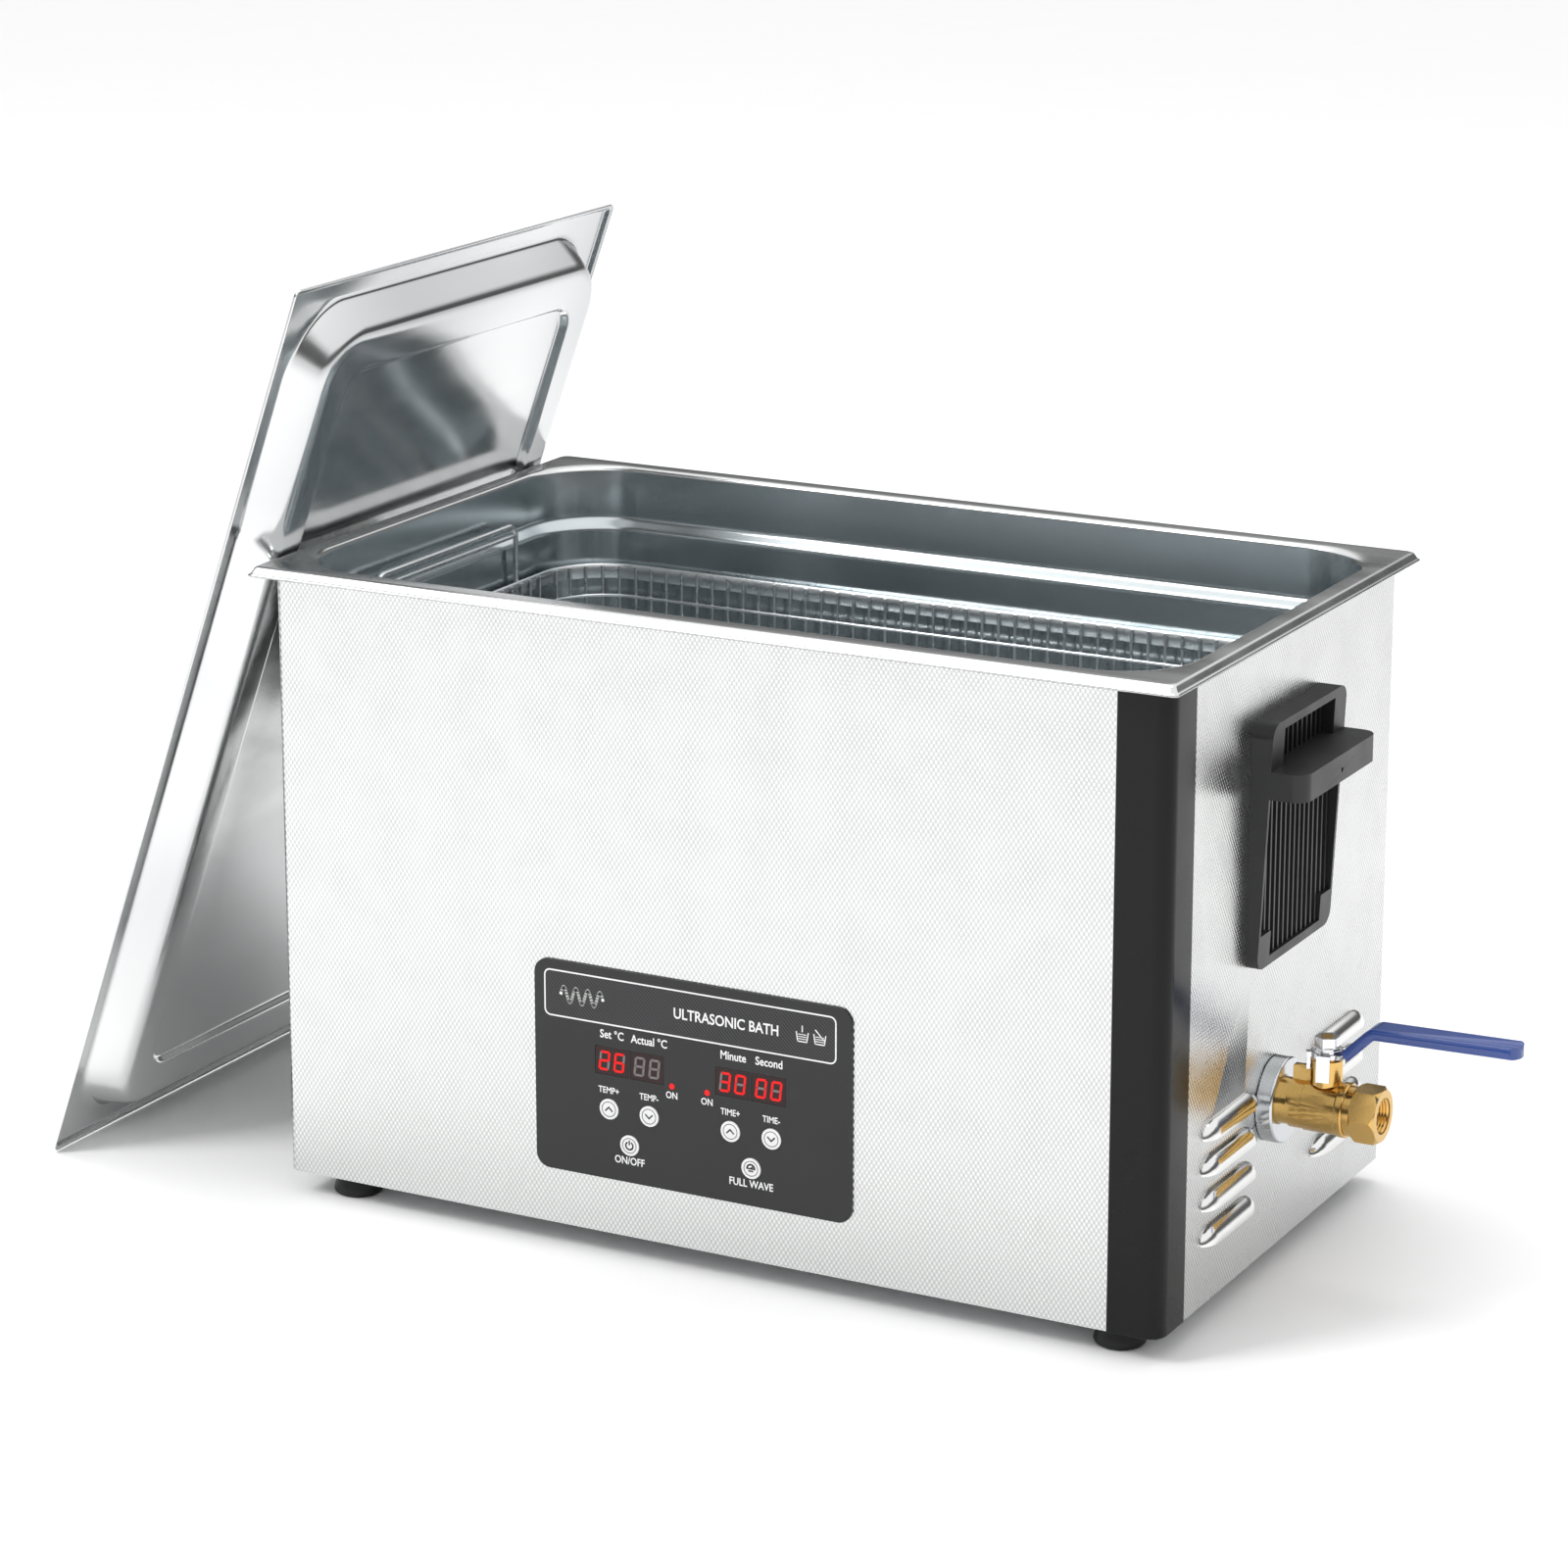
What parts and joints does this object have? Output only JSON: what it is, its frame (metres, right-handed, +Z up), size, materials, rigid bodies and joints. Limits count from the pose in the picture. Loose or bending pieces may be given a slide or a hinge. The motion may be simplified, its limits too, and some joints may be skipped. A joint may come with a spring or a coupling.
{
  "type": "ultrasonic cleaner",
  "caption": "Benchtop ultrasonic cleaner: steel box with a deep tank, lift-out wire basket, keypad and display, side grips, brass drain valve and a lid leaning on one end.",
  "frame": {"origin": "on the bench, under the middle of the machine's box, in the plane of the rubber feet", "axes": "+Z up; -Y is the front, with the control panel; +X is the end with the drain valve; the lid leans on the -X end"},
  "size_m": [0.7995, 0.3278, 0.4994],
  "materials": {
    "textured_steel": "embossed",
    "tank_steel": "satin",
    "lid_steel": "polished",
    "wire_steel": "polished",
    "plain_steel": "satin",
    "zinc_plated": "plated",
    "black_plastic": "matt",
    "panel_plastic": "satin",
    "display_window": "gloss",
    "lamp_lens": "gloss",
    "key_plastic": "satin",
    "grip_vinyl": "gloss",
    "brass": "cast",
    "seat_plastic": "matt",
    "rubber": "matt",
    "circuit_board": "matt",
    "aluminium": "machined",
    "crystal_ceramic": "matt",
    "heater_silicone": "matt",
    "winding": "varnished"
  },
  "bodies": {
    "housing": {"housing_wrap": "textured_steel", "corner_post": "black_plastic", "base_plate": "plain_steel", "rubber_feet": "rubber", "foot_screws": "zinc_plated", "tank": "tank_steel", "tank_brackets": "plain_steel", "control_panel": "panel_plastic", "display_windows": "display_window", "display_modules": "black_plastic", "indicator_lenses": "lamp_lens", "key_switches": "black_plastic", "control_board": "circuit_board", "side_handle_right": "black_plastic", "side_handle_left": "black_plastic", "side_handle_screws": "zinc_plated", "drain_ring": "plain_steel", "valve_body": "brass", "valve_end": "brass", "valve_seats": "seat_plastic", "drain_pipe": "plain_steel", "drain_flange": "plain_steel", "transducer_horns": "aluminium", "transducer_crystals": "crystal_ceramic", "transducer_back_masses": "plain_steel", "transducer_bolts": "zinc_plated", "heater_pads": "heater_silicone", "temperature_sensor": "aluminium", "generator_board": "circuit_board", "heat_sinks": "aluminium", "mains_transformer": "winding", "fan_frame": "black_plastic", "fan_guard": "zinc_plated", "mains_inlet": "black_plastic", "rear_screws": "zinc_plated", "rocker_frame": "black_plastic", "fuse_holder": "black_plastic"},
    "lid": {"lid": "lid_steel", "lid_handle": "lid_steel", "lid_handle_pads": "lid_steel"},
    "basket": {"basket_rim": "wire_steel", "basket_long_walls": "wire_steel", "basket_end_walls": "wire_steel", "basket_corners": "wire_steel", "basket_floor_mesh": "wire_steel", "basket_handles": "wire_steel", "basket_feet": "wire_steel"},
    "valve_lever": {"valve_ball": "zinc_plated", "valve_stem": "brass", "lever_plate": "zinc_plated", "lever_grip": "grip_vinyl", "lever_nut": "zinc_plated"},
    "rocker": {"power_rocker": "black_plastic"},
    "impeller": {"fan_impeller": "black_plastic"},
    "moving_key_temperature_up": {"key_temperature_up": "key_plastic"},
    "moving_key_temperature_down": {"key_temperature_down": "key_plastic"},
    "moving_key_time_up": {"key_time_up": "key_plastic"},
    "moving_key_time_down": {"key_time_down": "key_plastic"},
    "moving_key_power": {"key_power": "key_plastic"},
    "moving_key_full_wave": {"key_full_wave": "key_plastic"}
  },
  "joints": [
    {"name": "lid_lift_off", "type": "slide", "parent": "housing", "child": "lid", "axis": [-0.6, 0, 0.8], "range_m": [0, 0.36]},
    {"name": "basket_lift_out", "type": "slide", "parent": "housing", "child": "basket", "axis": [0, 0, 1], "range_m": [0, 0.27]},
    {"name": "valve_lever_turn", "type": "hinge", "parent": "housing", "child": "valve_lever", "pos_m": [0.2861, -0.0095, 0.0974], "axis": [0, 0, 1], "range_deg": [0, 90]},
    {"name": "power_rocker_tilt", "type": "hinge", "parent": "housing", "child": "rocker", "pos_m": [0.196, 0.145, 0.06], "axis": [1, 0, 0], "range_deg": [0, 18]},
    {"name": "fan_spin", "type": "hinge", "parent": "housing", "child": "impeller", "pos_m": [-0.13, 0.137, 0.072], "axis": [0, 1, 0], "continuous": true},
    {"name": "key_temperature_up_press", "type": "slide", "parent": "housing", "child": "moving_key_temperature_up", "axis": [0, 1, 0], "range_m": [0, 0.0005], "stiffness_N_per_m": 800},
    {"name": "key_temperature_down_press", "type": "slide", "parent": "housing", "child": "moving_key_temperature_down", "axis": [0, 1, 0], "range_m": [0, 0.0005], "stiffness_N_per_m": 800},
    {"name": "key_time_up_press", "type": "slide", "parent": "housing", "child": "moving_key_time_up", "axis": [0, 1, 0], "range_m": [0, 0.0005], "stiffness_N_per_m": 800},
    {"name": "key_time_down_press", "type": "slide", "parent": "housing", "child": "moving_key_time_down", "axis": [0, 1, 0], "range_m": [0, 0.0005], "stiffness_N_per_m": 800},
    {"name": "key_power_press", "type": "slide", "parent": "housing", "child": "moving_key_power", "axis": [0, 1, 0], "range_m": [0, 0.0005], "stiffness_N_per_m": 800},
    {"name": "key_full_wave_press", "type": "slide", "parent": "housing", "child": "moving_key_full_wave", "axis": [0, 1, 0], "range_m": [0, 0.0005], "stiffness_N_per_m": 800}
  ],
  "couplings": [
    {"joint": "basket_lift_out", "follows": "lid_lift_off", "ratio": 0.75}
  ]
}
